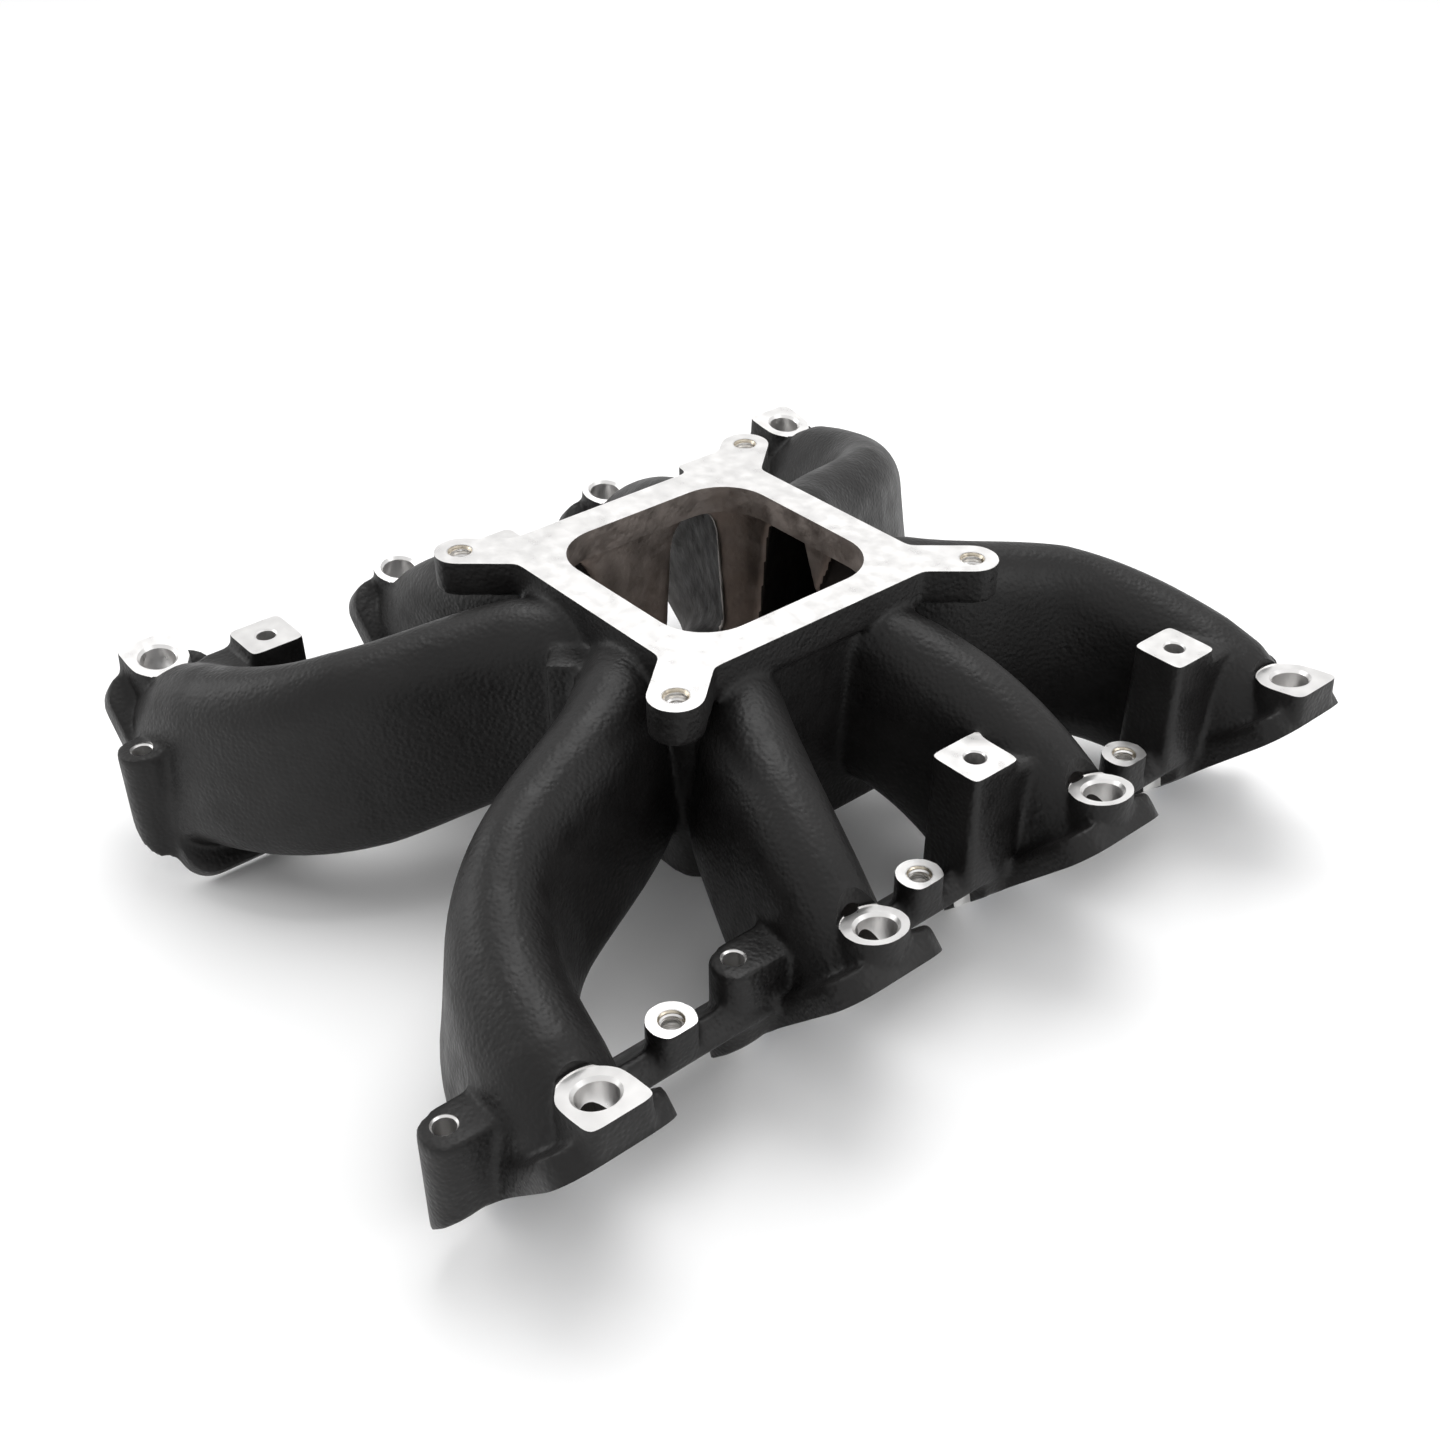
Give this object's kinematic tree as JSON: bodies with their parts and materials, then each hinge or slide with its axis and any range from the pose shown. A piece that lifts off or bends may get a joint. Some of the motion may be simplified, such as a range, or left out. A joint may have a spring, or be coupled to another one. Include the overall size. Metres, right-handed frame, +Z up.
{
  "type": "intake manifold",
  "caption": "Single plane V8 intake manifold: square four stud carburettor flange on a plenum, tall runners sweeping to two 45 degree head flanges with injector and fuel rail bosses.",
  "frame": {"origin": "under the middle of the carburettor opening, on the plane that the two head flanges stand on", "axes": "+X towards the right bank, +Y along the crankshaft, +Z up out of the carburettor opening"},
  "size_m": [0.3318, 0.426, 0.126],
  "materials": {
    "coating": "satin black textured coating over cast aluminium, with machined faces and a raw interior",
    "liner": "gold-brown plated thread",
    "seal": "moulded rubber"
  },
  "bodies": {
    "root": {"carb_flange": "coating", "plenum": "coating", "runner_r1": "coating", "runner_r2": "coating", "runner_r3": "coating", "runner_r4": "coating", "runner_l1": "coating", "runner_l2": "coating", "runner_l3": "coating", "runner_l4": "coating", "head_flange_right": "coating", "head_flange_left": "coating", "port_seal_r1": "seal", "port_seal_r2": "seal", "port_seal_r3": "seal", "port_seal_r4": "seal", "port_seal_l1": "seal", "port_seal_l2": "seal", "port_seal_l3": "seal", "port_seal_l4": "seal", "stud_liner_1": "liner", "stud_liner_2": "liner", "stud_liner_3": "liner", "stud_liner_4": "liner", "rail_liner_r1": "liner", "rail_liner_r2": "liner", "rail_liner_r3": "liner", "rail_liner_l1": "liner", "rail_liner_l2": "liner", "rail_liner_l3": "liner"}
  },
  "joints": []
}
